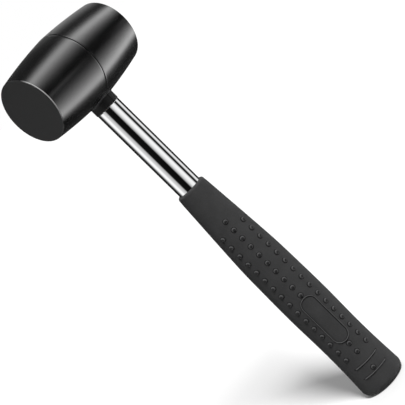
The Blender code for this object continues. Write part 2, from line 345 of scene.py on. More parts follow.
def multiply(tree, first, second):
    return calculate(tree, "MULTIPLY", first, second)


def distance_from_line(tree, across, away):
    """Distance from a line, sqrt(across^2 + away^2), for two offsets square to it."""
    squares = calculate(tree, "ADD", multiply(tree, across, across), multiply(tree, away, away))
    return calculate(tree, "SQRT", squares)


def ramp_between(tree, value, low, high, to_low=0.0, to_high=1.0):
    """Smooth step of the value from low to high, given out as to_low to to_high."""
    made = add(
        tree,
        "ShaderNodeMapRange",
        {"Value": value, "From Min": low, "From Max": high, "To Min": to_low, "To Max": to_high},
        interpolation_type="SMOOTHSTEP",
    )
    return made.outputs["Result"]


def noise(tree, place, scale, detail=3.0, roughness=0.5):
    inputs = {"Vector": place, "Scale": scale, "Detail": detail, "Roughness": roughness}
    return add(tree, "ShaderNodeTexNoise", inputs).outputs["Fac"]


def full_range(tree, value, to_low=0.0, to_high=1.0):
    """Noise drawn out from the span that it mostly fills, given out as to_low to to_high."""
    return ramp_between(tree, value, 0.3, 0.7, to_low, to_high)


def stretched(tree, place, scale):
    """The place with each axis scaled, so that a pattern on it is drawn out."""
    return add(tree, "ShaderNodeMapping", {"Vector": place, "Scale": scale}).outputs["Vector"]


def mix(tree, factor, first, second, kind="FLOAT"):
    """Number or colour that goes from the first to the second with the factor."""
    made = add(tree, "ShaderNodeMix", {"Factor": factor}, data_type=kind)
    ending = {"FLOAT": "_Float", "RGBA": "_Color"}[kind]
    ends = {place.identifier: place for place in made.inputs}
    for key, value in (("A", first), ("B", second)):
        if isinstance(value, bpy.types.NodeSocket):
            tree.links.new(value, ends[key + ending])
        else:
            ends[key + ending].default_value = (*value, 1.0) if kind == "RGBA" else value
    return next(place for place in made.outputs if place.identifier == "Result" + ending)


def blend_colours(tree, factor, first, second):
    return mix(tree, factor, first, second, "RGBA")


def bump(tree, height, strength, distance, under=None):
    inputs = {"Height": height, "Strength": strength, "Distance": distance}
    if under is not None:
        inputs["Normal"] = under
    return add(tree, "ShaderNodeBump", inputs).outputs["Normal"]


def scaled(values, factor):
    return tuple(min(1.0, value * factor) for value in values)


def shades(tree, factor, base, darker, lighter):
    """Colour that goes from a darker to a lighter shade of the base with the factor."""
    return blend_colours(tree, factor, scaled(base, darker), scaled(base, lighter))


def head_rubber(finishes, head):
    """Black moulded rubber with a faint orange peel: satin flank, duller faces, line and boss.

    A pale painted highlight lies along the rim on its -Y side. Head and cap share the rubber, which is
    made only once.
    """
    name = "satin_head_rubber"
    if name in bpy.data.materials:
        return bpy.data.materials[name]
    material, tree, place = new_material(name)
    parts = add(tree, "ShaderNodeSeparateXYZ", {"Vector": place}).outputs
    along = calculate(tree, "ABSOLUTE", parts["X"])
    height = calculate(tree, "SUBTRACT", parts["Z"], HEAD_HEIGHT)

    # Masks: 1 on the face, rim, mould line or boss, and 0 elsewhere
    face = head.length / 2
    face_fade = (face - 0.0003, face - 0.0001)
    on_face = ramp_between(tree, along, *face_fade)
    rim_outer, rim_inner = 0.8 * head.rim_radius, 0.6 * head.rim_radius
    near_face = ramp_between(tree, along, face - rim_outer, face - rim_inner)
    near_edge = ramp_between(
        tree,
        distance_from_line(tree, parts["Y"], height),
        head.face_radius - rim_outer,
        head.face_radius - rim_inner,
    )
    rim = multiply(tree, near_face, near_edge)
    line_edge = head.parting_width / 2
    in_line = ramp_between(tree, along, 0.6 * line_edge, line_edge, 1.0, 0.0)
    boss_outer = head.boss_radius + head.boss_fillet
    boss_fade = (boss_outer + 0.0025, boss_outer + 0.0003)
    at_boss = multiply(
        tree,
        ramp_between(tree, distance_from_line(tree, parts["X"], parts["Y"]), *boss_fade),
        ramp_between(tree, height, 0.0, -0.5 * head.middle_radius),
    )

    base = finishes.head_colour
    clouds = noise(tree, place, 55.0, 4.0, 0.6)
    highlight_breakup = noise(tree, place, 900.0, 2.0, 0.6)
    body = shades(tree, full_range(tree, clouds), base, 0.85, 1.15)
    # Painted highlight: the rim on its -Y side is coloured pale, made patchy by fine noise
    highlight_side = (-0.015, -0.0205)
    highlighted = multiply(tree, rim, ramp_between(tree, parts["Y"], *highlight_side))
    painted_highlight_share = multiply(tree, highlighted, ramp_between(tree, highlight_breakup, 0.25, 0.7, 0.7, 1.0))
    with_painted_highlight = blend_colours(tree, painted_highlight_share, body, tuple(finishes.rim_highlight_colour))

    line_gloss, boss_gloss = 0.9, 0.6
    patchy = full_range(tree, clouds, finishes.head_gloss - 0.02, finishes.head_gloss + 0.02)
    gloss = mix(tree, at_boss, mix(tree, on_face, patchy, finishes.face_gloss), boss_gloss)

    flank_shine, face_shine, rim_shine, boss_shine, line_shine = 0.5, 0.45, 0.12, 0.2, 0.1
    shine = ramp_between(tree, on_face, 0.0, 1.0, flank_shine, face_shine)
    for mask, value in ((rim, rim_shine), (at_boss, boss_shine), (in_line, line_shine)):
        shine = mix(tree, mask, shine, value)

    peel = bump(tree, noise(tree, place, 420.0, 2.0), 0.05, 0.0004)
    inputs = {
        "Base Color": blend_colours(tree, in_line, with_painted_highlight, scaled(base, 0.3)),
        "Roughness": mix(tree, in_line, gloss, line_gloss),
        "Specular IOR Level": shine,
        "Normal": bump(tree, noise(tree, place, 3200.0, 2.0), 0.05, 0.00006, peel),
        "IOR": 1.5,
    }
    return dress(material, inputs)


def grip_rubber(finishes):
    """Dark grey moulded rubber with a fine pebble, and a pale painted highlight on bead, ribs and nub
    shoulders.

    Painted shade makes it darkest on top of the nubs and at the foot of the relief.
    """
    material, tree, place = new_material("pebbled_grip_rubber")
    raised = add(tree, "ShaderNodeAttribute", attribute_name="raised").outputs["Fac"]

    # Heights, as shares of a nub's, between which each part of the relief fades in and out
    foot_in, foot_out = (0.005, 0.03), (0.4, 0.2)
    bead_in, bead_out = (0.35, 0.5), (0.78, 0.9)
    top_in = (0.8, 0.95)
    bead_share, top_share = 0.8, 0.7
    # Painted highlight on bead, ribs and the nubs' shoulders
    painted_highlight_band = calculate(
        tree,
        "SUBTRACT",
        ramp_between(tree, raised, *bead_in, to_high=bead_share),
        ramp_between(tree, raised, *bead_out, to_high=bead_share),
    )
    # Painted shade in the corner at the foot of the relief
    painted_shade_at_foot = multiply(
        tree, ramp_between(tree, raised, *foot_in), ramp_between(tree, raised, *foot_out)
    )
    # Painted shade on top of the nubs
    painted_shade_on_top = ramp_between(tree, raised, *top_in, to_high=top_share)

    base = finishes.grip_colour
    # Colours of the pale painted highlight and of the dark painted shade
    pale, dark = scaled(base, 1.9), scaled(base, 0.25)
    clouds = noise(tree, place, 70.0, 4.0, 0.6)
    dust = ramp_between(tree, noise(tree, place, 1400.0, 3.0, 0.7), 0.45, 0.75, 0.0, 0.35)
    tone = shades(tree, full_range(tree, clouds), base, 0.9, 1.1)
    tone = blend_colours(tree, dust, tone, scaled(base, 1.6))
    # Lays the painted highlight and the painted shades over the rubber's tone
    for mask, shade in ((painted_highlight_band, pale), (painted_shade_at_foot, dark), (painted_shade_on_top, dark)):
        tone = blend_colours(tree, mask, tone, shade)

    gloss = ramp_between(tree, raised, 0.4, 1.0, finishes.grip_gloss, finishes.grip_gloss - 0.1)
    pebble = add(tree, "ShaderNodeTexVoronoi", {"Vector": place, "Scale": 1500.0})
    coarse = bump(tree, pebble.outputs["Distance"], 0.12, 0.0002)
    inputs = {
        "Base Color": tone,
        "Roughness": calculate(tree, "ADD", gloss, full_range(tree, clouds, -0.03, 0.03)),
        "Specular IOR Level": 0.08,
        "Normal": bump(tree, noise(tree, place, 2600.0, 3.0, 0.6), 0.12, 0.0001, coarse),
    }
    return dress(material, inputs)


def chrome(finishes):
    """Bright plate over a tube that was polished round and round, with a faint haze."""
    material, tree, place = new_material("bright_chrome")
    haze = noise(tree, stretched(tree, place, (1.0, 1.0, 0.25)), 160.0, 4.0, 0.6)
    polish = noise(tree, stretched(tree, place, (0.08, 0.08, 1.0)), 5000.0, 2.0)
    clearest, haziest = finishes.chrome_gloss - 0.015, finishes.chrome_gloss + 0.025
    inputs = {
        "Base Color": shades(tree, full_range(tree, haze), finishes.chrome_colour, 0.985, 1.01),
        "Roughness": ramp_between(tree, haze, 0.35, 0.75, clearest, haziest),
        "Normal": bump(tree, polish, 0.02, 0.00001),
        "Metallic": 1.0,
    }
    return dress(material, inputs)


def zinc_steel(finishes):
    """Zinc plate with a faint crystal pattern and turning marks."""
    material, tree, place = new_material("zinc_plate")
    crystals = add(tree, "ShaderNodeTexVoronoi", {"Vector": place, "Scale": 900.0})
    colours = {"Color": crystals.outputs["Color"]}
    spangle = add(tree, "ShaderNodeSeparateColor", colours).outputs["Red"]
    marks = noise(tree, stretched(tree, place, (1.0, 1.0, 8.0)), 1200.0, 2.0)
    inputs = {
        "Base Color": shades(tree, spangle, finishes.zinc_colour, 0.88, 1.1),
        "Roughness": ramp_between(tree, spangle, 0.0, 1.0, 0.28, 0.42),
        "Normal": bump(tree, marks, 0.1, 0.00005),
        "Metallic": 1.0,
    }
    return dress(material, inputs)


def beech_wood(finishes):
    """Beech with rings about the handle's line, long grain and short dark flecks."""
    material, tree, place = new_material("turned_beech")
    rings = add(
        tree,
        "ShaderNodeTexWave",
        {"Vector": stretched(tree, place, (1.0, 1.0, 0.06)), "Scale": 180.0, "Distortion": 3.0},
        wave_type="RINGS",
        rings_direction="Z",
    ).outputs["Fac"]
    flecks = noise(tree, stretched(tree, place, (1.0, 1.0, 0.12)), 3500.0, 2.0)
    base = finishes.beech_colour
    in_fleck = ramp_between(tree, flecks, 0.6, 0.72, 0.0, 0.6)
    tone = shades(tree, rings, base, 0.8, 1.12)
    inputs = {
        "Base Color": blend_colours(tree, in_fleck, tone, scaled(base, 0.45)),
        "Roughness": ramp_between(tree, rings, 0.0, 1.0, 0.62, 0.75),
        "Normal": bump(tree, flecks, 0.2, 0.0001),
    }
    return dress(material, inputs)


def black_plastic(finishes):
    """Moulded plastic with a fine spark-eroded grain."""
    material, tree, place = new_material("grained_black_plastic")
    clouds = noise(tree, place, 120.0, 3.0)
    inputs = {
        "Base Color": shades(tree, clouds, finishes.plastic_colour, 0.85, 1.15),
        "Roughness": full_range(tree, clouds, 0.42, 0.52),
        "Normal": bump(tree, noise(tree, place, 2500.0, 2.0), 0.15, 0.0001),
    }
    return dress(material, inputs)


# ---- head

# A row this close beside a rounding keeps its tilted shading off the long run next to it
CLOSE_ROW = 0.0002


def flank_radius(head, along):
    """Straight taper from the middle to the face, plus a parabola that bulges it."""
    away = np.abs(along)
    taper = (head.middle_radius - head.face_radius) * away / (head.length / 2)
    crown_share = away / (head.length / 2 - head.rim_radius)
    return head.middle_radius - taper + head.crown * 4 * crown_share * (1 - crown_share)


def barrel_profile(head, flank_rows=44, face_rows=9, rim_rows=8, groove_rows=6):
    """Outline of the barrel: a face, its rim and the flank down to the mould line, then mirrored.

    The line is a groove whose depth is a cosine across its width.
    """
    rim_start = head.length / 2 - head.rim_radius
    rim_radius_there = flank_radius(head, rim_start)
    rim_centre = (rim_radius_there - head.rim_radius, rim_start)
    face = joined(
        line((0.0, head.length / 2), (rim_centre[0] - CLOSE_ROW, head.length / 2), face_rows),
        np.array([(rim_centre[0], head.length / 2)]),
    )
    rim = arc(rim_centre, (head.rim_radius, head.rim_radius), math.pi / 2, 0.0, rim_rows)
    groove_start = head.parting_width / 2
    flank_levels = np.linspace(rim_start, groove_start, flank_rows + 1)
    flank_levels = np.insert(flank_levels, 1, rim_start - CLOSE_ROW)
    groove_levels = np.linspace(groove_start, 0.0, groove_rows + 1)
    levels = np.concatenate([flank_levels[1:], groove_levels[1:]])
    dip = np.where(levels < groove_start, 0.5 + 0.5 * np.cos(math.pi * levels / groove_start), 0.0)
    flank = np.stack([flank_radius(head, levels) - head.parting_depth * dip, levels], axis=1)
    upper = joined(face, rim, flank)
    lower = upper[::-1][1:] * (1.0, -1.0)
    return np.concatenate([upper, lower])


def barrel_mesh(head, steps=224):
    """The barrel turned about its own line, then laid along X: (h, r sin a, -r cos a)."""
    grid = turned(barrel_profile(head), full_turn(steps))
    laid = np.stack([grid[..., 2], grid[..., 1], HEAD_HEIGHT - grid[..., 0]], axis=2)
    return mesh_from_grid("head", laid)


def boss_mesh(head, steps=160, fillet_rows=8, wall_rows=12):
    """A round boss whose wall flares into the barrel.

    At each angle the flare starts a fillet's radius under the barrel and ends on the barrel a
    fillet's radius further out, as the quarter of a circle. Above it the solid closes inside.
    """
    angles = full_turn(steps)
    foot = HEAD_LOW.z
    outer = head.boss_radius + head.boss_fillet

    def barrel_underside(radius):
        across, away = radius * np.cos(angles), radius * np.sin(angles)
        return HEAD_HEIGHT - np.sqrt(flank_radius(head, across) ** 2 - away**2)

    joint = barrel_underside(outer)
    closed_at = HEAD_HEIGHT - 0.5 * head.middle_radius
    buried_radius, buried_by, overlap = 0.97 * outer, 0.0006, 0.00002
    rows = []

    def add_row(radius, height):
        rows.append([np.full(steps, radius), np.full(steps, height)])

    add_row(0.0, closed_at)
    add_row(buried_radius, joint + buried_by)
    for turned_by in np.linspace(0.0, math.pi / 2, fillet_rows + 1):
        radius = outer - head.boss_fillet * math.sin(turned_by)
        drop = head.boss_fillet * (1 - math.cos(turned_by))
        sink = overlap if turned_by == 0.0 else 0.0
        add_row(radius, barrel_underside(radius) - drop + sink)
    wall_top = rows[-1][1]
    wall_foot = foot + head.boss_edge
    for part in np.linspace(0.0, 1.0, wall_rows + 1)[1:]:
        add_row(head.boss_radius, wall_top * (1 - part) + wall_foot * part)
    edge_centre = (head.boss_radius - head.boss_edge, wall_foot)
    edge = arc(edge_centre, (head.boss_edge, head.boss_edge), 0.0, -math.pi / 2, 6)
    for radius, height in edge[1:]:
        add_row(radius, height)
    add_row(0.0, foot)
    radius, height = np.array(rows).transpose(1, 0, 2)
    grid = np.stack([radius * np.cos(angles), radius * np.sin(angles), height], axis=2)
    return mesh_from_grid("boss", grid)


def eye_mesh(head, steps=128):
    """The stepped hole for the neck, with the pocket for washer and cap above it."""
    under_washer, past_head = 0.0003, 0.01
    seat = WASHER_LOW.z - under_washer
    above, below = HEAD_HIGH.z + past_head, HEAD_LOW.z - past_head
    profile = np.array(
        [
            (0.0, above),
            (head.seat_radius, above),
            (head.seat_radius, seat),
            (head.eye_radius, seat),
            (head.eye_radius, below),
            (0.0, below),
        ]
    )
    return mesh_from_grid("eye", turned(profile, full_turn(steps)))


def cap_mesh(head, steps=128, crest_rows=24, edge_rows=5):
    """The cap over the eye: its crest lies on the barrel, and its edge rolls over to the wall.

    The crest's height is sqrt(R(x)^2 - y^2), R being the flank's radius, less the roll of a
    quarter circle near the edge.
    """
    angles = full_turn(steps)
    wall = head.seat_radius - head.cap_clearance
    edge = 0.0004
    spread = np.concatenate(
        [
            np.linspace(0.0, wall - edge, crest_rows + 1),
            wall - edge + edge * np.sin(np.linspace(0, math.pi / 2, edge_rows + 1)[1:]),
        ]
    )[:, None]
    across, away = spread * np.cos(angles), spread * np.sin(angles)
    crest = HEAD_HEIGHT + np.sqrt(flank_radius(head, across) ** 2 - away**2)
    past = np.clip((spread - (wall - edge)) / edge, 0.0, 1.0)
    crest = crest - edge * (1 - np.sqrt(1 - past**2))
    crest[0] = crest[0, 0]
    top = np.stack([across, away, crest], axis=2)
    foot = np.array([(wall, CAP_LOW.z), (0.0, CAP_LOW.z)])
    return mesh_from_grid("eye_cap", np.concatenate([top, turned(foot, angles)]))


class MALLET_OT_head(bpy.types.Operator):
    """Make the rubber barrel with its boss, mould line and eye."""

    bl_idname = "mallet.head"
    bl_label = "Make Head"

    def execute(self, context):
        head, finishes = context.scene.mallet_head, context.scene.mallet_finishes
        piece = add_object("rubber_head", barrel_mesh(head))
        combine(piece, boss_mesh(head), "UNION")
        combine(piece, eye_mesh(head), "DIFFERENCE")
        piece.data.name = "rubber_head"
        material = head_rubber(finishes, head)
        finish_piece(piece, "head", material, sharp=50.0)
        # The head throws no shadow on floor or handle
        piece.visible_shadow = False
        return {"FINISHED"}


class MALLET_OT_cap(bpy.types.Operator):
    """Make the rubber cap that closes the eye."""

    bl_idname = "mallet.cap"
    bl_label = "Make Eye Cap"

    def execute(self, context):
        head, finishes = context.scene.mallet_head, context.scene.mallet_finishes
        piece = add_object("rubber_eye_cap", cap_mesh(head))
        material = head_rubber(finishes, head)
        finish_piece(piece, "eye_cap", material)
        return {"FINISHED"}


# ---- tube


def tube_profile(tube):
    """Ring outline: lip, neck, shoulder and shaft down the outside, and back up the bore."""
    lip_top, foot = TUBE_HIGH.z, TUBE_LOW.z
    lip_base = lip_top - tube.lip_height
    lip_edge, lip_side, chamfer = 0.0004, 0.0007, 0.0003
    under_boss = 0.00005
    shoulder = HEAD_LOW.z - under_boss
    bore, neck_bore = tube.radius - tube.wall, tube.neck_radius - tube.wall
    rolled = tube.shoulder_round
    shaft_top, shaft_foot = shoulder - rolled, foot + chamfer
    lip = [
        (tube.lip_radius - lip_edge, lip_top),
        (tube.lip_radius, lip_top - lip_edge),
        (tube.lip_radius, lip_top - lip_side),
        (tube.neck_radius, lip_base),
        (tube.neck_radius, shoulder),
    ]
    shaft = [
        (tube.radius, shaft_top - CLOSE_ROW),
        (tube.radius, shaft_foot + CLOSE_ROW),
        (tube.radius, shaft_foot + CLOSE_ROW / 2),
        (tube.radius, shaft_foot),
        (tube.radius - chamfer, foot),
    ]
    inside = [
        (bore + chamfer, foot),
        (bore, shaft_foot),
        (bore, shoulder - 2 * tube.wall),
        (neck_bore, shoulder - tube.wall),
        (neck_bore, lip_base),
        (tube.lip_radius - tube.wall, lip_top),
    ]
    rounding = arc((tube.radius - rolled, shaft_top), (rolled, rolled), math.pi / 2, 0.0, 8)
    outside = joined(path(lip, (2, 1, 4, 8)), rounding, path(shaft, (40, 1, 1, 1)))
    return np.concatenate([outside, path(inside, (1, 8, 4, 4, 4))])


class MALLET_OT_tube(bpy.types.Operator):
    """Make the chromed steel tube."""

    bl_idname = "mallet.tube"
    bl_label = "Make Tube"

    def execute(self, context):
        scene = context.scene
        profile = tube_profile(scene.mallet_tube)
        mesh = mesh_from_grid("chromed_tube", turned(profile, full_turn(192)), closed_profile=True)
        piece = add_object("chromed_tube", mesh)
        finish_piece(piece, "handle_tube", chrome(scene.mallet_finishes))
        # The head would mirror it as a streak
        piece.visible_glossy = False
        return {"FINISHED"}


# ---- grip

# Outside of the grip: height and radius from the mouth down to the butt's rounding
GRIP_STATIONS = (
    (0.196, 0.0118),
    (0.184, 0.01265),
    (0.133, 0.01605),
    (0.115, 0.01665),
    (0.080, 0.01715),
    (0.046, 0.0167),
    (0.025, 0.0170),
    (0.005, 0.01785),
)
MIDDLE_ROWS = tuple(range(10)) + (15, 16, 18)
SIDE_ROWS = tuple(range(1, 17))
PANEL_ROW = 12
RIB_LEVELS = (0.0253, 0.0158)


def grip_radius(height):
    """Cubic Hermite curves through the stations, with slopes from each point's neighbours."""
    levels, radii = np.array(GRIP_STATIONS[::-1]).T
    order = np.arange(len(levels))
    low, high = np.maximum(order - 1, 0), np.minimum(order + 1, len(levels) - 1)
    slopes = (radii[high] - radii[low]) / (levels[high] - levels[low])
    height = np.clip(height, levels[0], levels[-1])
    i = np.clip(np.searchsorted(levels, height, side="right") - 1, 0, len(levels) - 2)
    span = levels[i + 1] - levels[i]
    t = (height - levels[i]) / span
    return (
        radii[i] * (1 + 2 * t) * (1 - t) ** 2
        + radii[i + 1] * t * t * (3 - 2 * t)
        + span * slopes[i] * t * (1 - t) ** 2
        + span * slopes[i + 1] * t * t * (t - 1)
    )


def smooth(edge_low, edge_high, value):
    """Smooth step: 0 below the low edge, 1 above the high one, 3t^2 - 2t^3 between."""
    t = np.clip((value - edge_low) / (edge_high - edge_low), 0.0, 1.0)
    return t * t * (3 - 2 * t)


def dome(distance, radius, flat=0.32):
    """A nub's section: 1 over its flat middle, a rounded shoulder, and 0 past its foot."""
    return smooth(0.0, 1.0, np.clip((radius - distance) / (radius * (1 - flat)), 0.0, 1.0))


def ridge(distance, half_width):
    """Half a cosine wave across a bead, 0 past its foot."""
    near = np.clip(np.abs(distance) / half_width, 0.0, 1.0)
    return 0.5 + 0.5 * np.cos(math.pi * near)


def relief(grip, angle, height, radius):
    """How far the surface stands out, in metres, for the angle from a panel's middle.

    Nubs are domes about points on three straight columns, the bead is a ridge along a stadium,
    the ribs are ridges that run out at their ends. Distances lie along the surface.
    """
    around = radius * angle
    raised = np.zeros_like(around + height)
    columns = ((0.0, MIDDLE_ROWS), (-grip.nub_offset, SIDE_ROWS), (grip.nub_offset, SIDE_ROWS))
    for offset, rows in columns:
        beside = around - radius * np.arcsin(offset / radius)
        first, last = rows[0], rows[-1]
        row = np.clip(np.round((grip.nub_top - height) / grip.nub_pitch), first, last)
        level = grip.nub_top - row * grip.nub_pitch
        present = np.isin(row, rows)
        distance = np.hypot(beside, height - level)
        raised = np.maximum(raised, present * dome(distance, grip.nub_radius) * grip.nub_height)
    middle = grip.nub_top - PANEL_ROW * grip.nub_pitch
    straight = grip.panel_half_length - grip.panel_half_width
    past = np.maximum(np.abs(height - middle) - straight, 0.0)
    from_line = np.hypot(around, past) - grip.panel_half_width
    raised = np.maximum(raised, ridge(from_line, grip.bead_radius) * grip.bead_height)
    ends = 1 - smooth(0.72 * grip.rib_half_span, grip.rib_half_span, np.abs(around))
    for level in RIB_LEVELS:
        rib = ridge(height - level, grip.bead_radius) * ends * grip.rib_height
        raised = np.maximum(raised, rib)
    return raised


def spread_levels(stops):
    """Heights from the first stop down, each run of (end, spacing) in even steps."""
    levels = [np.array([stops[0]])]
    start = stops[0]
    for end, spacing in stops[1:]:
        count = max(1, round(abs(start - end) / spacing))
        levels.append(np.linspace(start, end, count + 1)[1:])
        start = end
    return np.concatenate(levels)


def grip_levels(grip):
    """Heights of the grip's rows: close together over the relief and closest at bead and ribs."""
    plain, over_nubs, over_bead, over_rib, by_butt = 0.0016, 0.00047, 0.00026, 0.00018, 0.0009
    above_nubs, past_bead = 0.003, 0.0008
    middle = grip.nub_top - PANEL_ROW * grip.nub_pitch
    top, bottom = middle + grip.panel_half_length, middle - grip.panel_half_length
    band = grip.panel_half_width + 2 * grip.bead_radius
    reach = 1.6 * grip.bead_radius
    stops = [
        GRIP_STATIONS[0][0],
        (grip.nub_top + above_nubs, plain),
        (top + past_bead, over_nubs),
        (top - band, over_bead),
        (bottom + band, over_nubs),
        (bottom - past_bead, over_bead),
    ]
    for level in RIB_LEVELS:
        stops += [(level + reach, over_nubs), (level - reach, over_rib)]
    return spread_levels([*stops, (grip.butt_round, by_butt)])


def grip_angles(grip, radius=0.017):
    """Angles from the middle of a panel to the middle of the next, over half a turn.

    They are close together over bead and nubs, and closest at the mould seam a quarter turn on.
    """
    in_panel, over_bead, over_nubs, plain, at_seam = 0.00036, 0.00026, 0.00042, 0.0013, 0.00022
    beside_bead, beside_seam = 1.4 * grip.bead_radius, 0.0009
    seam = radius * math.pi / 2
    half = spread_levels(
        (
            0.0,
            (grip.panel_half_width - beside_bead, in_panel),
            (grip.panel_half_width + beside_bead, over_bead),
            (grip.nub_offset * 1.12 + grip.nub_radius, over_nubs),
            (seam - beside_seam, plain),
            (seam, at_seam),
        )
    )
    quarter_turn = half / radius
    return np.concatenate([quarter_turn[:-1], math.pi - quarter_turn[:0:-1]])


def grip_grid(grip):
    """The whole grip as a grid of heights and angles, with how far each point is raised.

    Rows run from the bore's floor up the bore, over the mouth, down the outside and across the
    butt. The outside's radius is the plain one plus the relief of the nearer panel.
    """
    half = grip_angles(grip)
    angles = np.concatenate([half, half + math.pi])
    bore, narrow = grip.bore_radius, grip.mouth_radius
    bore_floor, lip = 0.0069, 0.0003
    mouth = GRIP_HIGH.z
    taper_foot, taper_top = mouth - 0.012, mouth - 0.010
    body_top = mouth - grip.mouth_round
    top_radius = float(grip_radius(np.array([body_top]))[0])
    rounded = (top_radius - narrow - lip, grip.mouth_round)
    inside = [
        (0.0, bore_floor),
        (bore, bore_floor),
        (bore, taper_foot),
        (narrow, taper_top),
        (narrow, mouth - lip),
    ]
    start = joined(
        path(inside, (6, 10, 2, 3)),
        arc((narrow + lip, mouth - lip), (lip, lip), math.pi, math.pi / 2, 3),
        arc((narrow + lip, body_top), rounded, math.pi / 2, 0.0, 9),
    )
    levels = grip_levels(grip)
    too_near = 0.0001
    levels = levels[levels < body_top - too_near]
    body = np.stack([grip_radius(levels), levels], axis=1)
    butt = grip.butt_round
    rounding = arc((body[-1, 0] - butt, butt), (butt, butt), 0.0, -math.pi / 2, 12)[1:]
    floor = line((rounding[-1, 0], 0.0), (0.0, 0.0), 8)[1:]
    profile = np.concatenate([start, body, rounding, floor])
    radius = profile[:, :1] + 0 * angles
    height = profile[:, 1:] + 0 * angles
    from_panel = (angles + math.pi / 2) % math.pi - math.pi / 2
    outside = np.zeros(len(profile), bool)
    outside[len(start) : len(start) + len(body)] = True
    raised = np.zeros_like(radius)
    raised[outside] = relief(grip, from_panel, height[outside], radius[outside])
    quarter_away = radius * (math.pi / 2 - np.abs(from_panel))
    fade_in, fade_out, seam_half_width = 0.003, 0.004, 0.0005
    faded = smooth(0.0, fade_in, height) * (1 - smooth(body_top - fade_out, body_top, height))
    seam = ridge(quarter_away, seam_half_width) * grip.seam_height * faded
    seam[: len(start)] = 0.0
    shown = radius + raised + seam
    facing = angles - math.pi / 2 + grip.turned
    grid = np.stack([shown * np.cos(facing), shown * np.sin(facing), height], axis=2)
    return grid, raised


class MALLET_OT_grip(bpy.types.Operator):
    """Make the moulded rubber grip with its nubs, beaded panels, ribs and mould seams."""

    bl_idname = "mallet.grip"
    bl_label = "Make Grip"

    def execute(self, context):
        grip = context.scene.mallet_grip
        grid, raised = grip_grid(grip)
        mesh = mesh_from_grid("rubber_grip", grid)
        values = np.concatenate([raised[1:-1].ravel(), [0.0, 0.0]]) / grip.nub_height
        attribute = mesh.attributes.new("raised", "FLOAT", "POINT")
        attribute.data.foreach_set("value", values.astype(np.float32))
        piece = add_object("rubber_grip", mesh)
        material = grip_rubber(context.scene.mallet_finishes)
        finish_piece(piece, "grip", material, sharp=60.0)
        return {"FINISHED"}


# ---- fixings inside


class MALLET_OT_fixings(bpy.types.Operator):
    """Give the washer, wedge, dowel and plug their finishes. Their shapes stay the CAD's."""

    bl_idname = "mallet.fixings"
    bl_label = "Finish Fixings"

    def execute(self, context):
        finishes = context.scene.mallet_finishes
        zinc, beech, plastic = zinc_steel(finishes), beech_wood(finishes), black_plastic(finishes)
        dressed = {
            "eye_washer": zinc,
            "steel_wedge": zinc,
            "core_dowel": beech,
            "tube_end_plug": plastic,
        }
        for node, material in dressed.items():
            for place in frame["nodes"][node].material_slots:
                place.link = "DATA"
                place.material = material
        return {"FINISHED"}


# ---- stage


def direction_to(azimuth, elevation):
    """Unit vector to a place in the sky, by azimuth about Z from -Y and by elevation."""
    level = math.cos(elevation)
    return Vector((math.sin(azimuth) * level, -math.cos(azimuth) * level, math.sin(elevation)))


def camera_axes(stage):
    """Right, up and back of the camera: azimuth about Z, then elevation, then roll."""
    azimuth, roll = stage.camera_azimuth, stage.camera_roll
    level = Vector((math.cos(azimuth), math.sin(azimuth), 0.0))
    back = direction_to(azimuth, stage.camera_elevation)
    upright = back.cross(level)
    right = level * math.cos(roll) + upright * math.sin(roll)
    up = upright * math.cos(roll) - level * math.sin(roll)
    return right, up, back


def add_camera(stage):
    right, up, back = camera_axes(stage)
    data = bpy.data.cameras.new("camera")
    data.lens = stage.camera_lens
    data.sensor_width = 36.0
    data.clip_start = 0.05
    data.clip_end = 200.0
    camera = add_object("camera", data)
    turned_to = Matrix((right, up, back)).transposed().to_4x4()
    camera.matrix_world = Matrix.Translation(Vector(stage.aim) + back * stage.camera_distance)
    camera.matrix_world = camera.matrix_world @ turned_to
    bpy.context.scene.camera = camera


def add_floor(stage):
    """A wide pale sheet under the butt. Only the camera sees it, so it throws no light back."""
    half = stage.floor_size / 2
    mesh = bpy.data.meshes.new("floor")
    corners = [(-half, -half, 0.0), (half, -half, 0.0), (half, half, 0.0), (-half, half, 0.0)]
    mesh.from_pydata(corners, [], [(0, 1, 2, 3)])
    floor = add_object("floor", mesh)
    material, tree, place = new_material("floor")
    clouds = noise(tree, place, 3.0)
    inputs = {
        "Base Color": shades(tree, clouds, tuple(stage.floor_colour), 0.995, 1.005),
        "Roughness": 1.0,
        "Specular IOR Level": 0.0,
    }
    mesh.materials.append(dress(material, inputs))
    floor.visible_diffuse = False
    floor.visible_glossy = False


def add_sun(stage):
    """A broad key light. It shades and casts the shadow, and is left out of reflections."""
    data = bpy.data.lights.new("key", "SUN")
    data.energy = stage.sun_power
    data.angle = stage.sun_spread
    sun = add_object("key", data)
    towards = direction_to(stage.sun_azimuth, stage.sun_elevation)
    sun.matrix_world = towards.to_track_quat("Z", "Y").to_matrix().to_4x4()
    sun.visible_glossy = False


def bright_steps(tree, place, steps):
    """Brightness by place, in straight runs between steps of (degrees, brightness).

    The place goes from 0 at the first step's angle to 1 at the last one's.
    """
    made = add(tree, "ShaderNodeValToRGB", {"Fac": place})
    stops = made.color_ramp.elements
    top = max(value for _, value in steps)
    first, last = steps[0][0], steps[-1][0]
    for i, (degrees, value) in enumerate(steps):
        at = (degrees - first) / (last - first)
        stop = stops[i] if i < 2 else stops.new(at)
        stop.position = at
        stop.color = (value / top,) * 3 + (1.0,)
    return multiply(tree, made.outputs["Color"], top)


# Light round the studio at eye level, by azimuth from the camera in degrees
EYE_LEVEL_LIGHTS = (
    (-180, 0.02), (-120, 0.02), (-111, 0.2), (-103, 0.62), (-94, 1.1), (-78, 1.15), (-66, 0.75),
    (-56, 0.66), (-46, 0.5), (-41, 0.12), (-37, 0.006), (2, 0.004), (9, 0.01), (16, 0.42),
    (24, 0.7), (36, 1.0), (54, 1.1), (64, 0.7), (69, 0.2), (72, 0.01), (85, 0.01), (90, 0.16),
    (98, 0.9), (112, 1.0), (119, 0.6), (124, 0.03), (180, 0.02),
)

